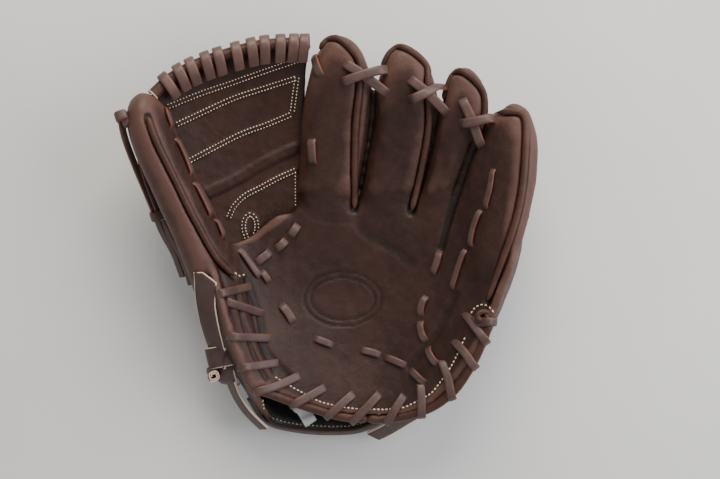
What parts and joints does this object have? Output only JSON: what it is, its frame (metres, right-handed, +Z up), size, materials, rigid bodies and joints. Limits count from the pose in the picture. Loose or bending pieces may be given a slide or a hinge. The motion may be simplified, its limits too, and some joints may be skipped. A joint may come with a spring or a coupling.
{
  "type": "baseball glove",
  "caption": "Open fielder's glove in brown leather: palm, finger stalls and thumb with raised seams, a closed sewn web, laced heel and fingertips, and a wrist strap.",
  "frame": {"origin": "centre of the glove's footprint, on the surface it lies on", "axes": "+Z up out of the pocket, +Y to the fingertips, +X to the little finger's side"},
  "size_m": [0.317, 0.3138, 0.098],
  "materials": {
    "shell_leather": "satin",
    "web_leather": "satin",
    "piping_leather": "satin",
    "rawhide_lace": "satin",
    "wool_felt": "matte",
    "stiffener_plastic": "matte",
    "black_fleece": "matte",
    "label_cloth": "matte",
    "lining_leather": "matte",
    "strap_leather": "satin"
  },
  "bodies": {
    "palm": {"back_leather": "shell_leather", "back_lining": "lining_leather", "palm_leather": "shell_leather", "palm_felt_pad": "wool_felt", "palm_lining": "lining_leather", "index_finger_front": "shell_leather", "index_finger_back": "shell_leather", "index_finger_welt": "piping_leather", "middle_finger_front": "shell_leather", "middle_finger_back": "shell_leather", "middle_finger_welt": "piping_leather", "wrist_strap": "strap_leather", "wrist_lining": "black_fleece", "wrist_label": "label_cloth", "wrist_flap": "strap_leather", "heel_binding": "piping_leather", "palm_lace": "rawhide_lace", "web_base_lace": "rawhide_lace", "web_index_lace": "rawhide_lace", "index_middle_lace": "rawhide_lace", "middle_ring_lace": "rawhide_lace"},
    "thumb": {"thumb_heel_leather": "shell_leather", "thumb_heel_pad": "wool_felt", "thumb_front": "shell_leather", "thumb_back": "shell_leather", "thumb_welt": "piping_leather", "thumb_side_leather": "shell_leather", "thumb_stay": "stiffener_plastic", "thumb_heel_lace": "rawhide_lace", "thumb_edge_lace": "rawhide_lace", "thumb_palm_lace": "rawhide_lace", "thumb_outer_lace": "rawhide_lace", "thumb_lace_knot": "rawhide_lace", "thumb_lace_tail": "rawhide_lace", "thumb_lace_keeper": "strap_leather", "strap_keeper": "strap_leather", "adjusting_strap": "strap_leather"},
    "little_side": {"little_heel_leather": "shell_leather", "little_heel_pad": "wool_felt", "ring_finger_front": "shell_leather", "ring_finger_back": "shell_leather", "little_finger_front": "shell_leather", "little_finger_back": "shell_leather", "ring_finger_welt": "piping_leather", "little_finger_welt": "piping_leather", "little_side_leather": "shell_leather", "little_stay": "stiffener_plastic", "little_heel_lace": "rawhide_lace", "little_palm_lace": "rawhide_lace", "little_chain_lace": "rawhide_lace", "ring_little_lace": "rawhide_lace", "little_rolled_end": "piping_leather"},
    "web_thumb_half": {"web_upper_thumb_half": "web_leather", "web_lower_thumb_half": "web_leather", "web_binding_thumb_half": "piping_leather", "web_wrap_lace_thumb_half": "rawhide_lace"},
    "web_index_half": {"web_upper_index_half": "web_leather", "web_lower_index_half": "web_leather", "web_binding_index_half": "piping_leather", "web_wrap_lace_index_half": "rawhide_lace"}
  },
  "joints": [
    {"name": "thumb_fold", "type": "hinge", "parent": "palm", "child": "thumb", "pos_m": [-0.03, -0.115, 0.053], "axis": [-0.2362, 0.9685, -0.0787], "range_deg": [0, 45], "stiffness_Nm_per_rad": 0.25},
    {"name": "little_fold", "type": "hinge", "parent": "palm", "child": "little_side", "pos_m": [0.05, -0.124, 0.053], "axis": [-0.0933, -0.9955, 0.0156], "range_deg": [0, 40], "stiffness_Nm_per_rad": 0.25, "deforming": ["middle_ring_lace"]},
    {"name": "web_index_fold", "type": "hinge", "parent": "palm", "child": "web_index_half", "pos_m": [-0.036, 0.04, 0.046], "axis": [-0.109, -0.9718, -0.2089], "range_deg": [0, 27]},
    {"name": "web_thumb_fold", "type": "hinge", "parent": "thumb", "child": "web_thumb_half", "pos_m": [-0.074, 0.014, 0.046], "axis": [-0.4423, 0.8315, 0.3361], "range_deg": [0, 22.5]}
  ],
  "couplings": [
    {"joint": "web_index_fold", "follows": "thumb_fold", "ratio": 0.6},
    {"joint": "web_thumb_fold", "follows": "thumb_fold", "ratio": 0.5}
  ]
}
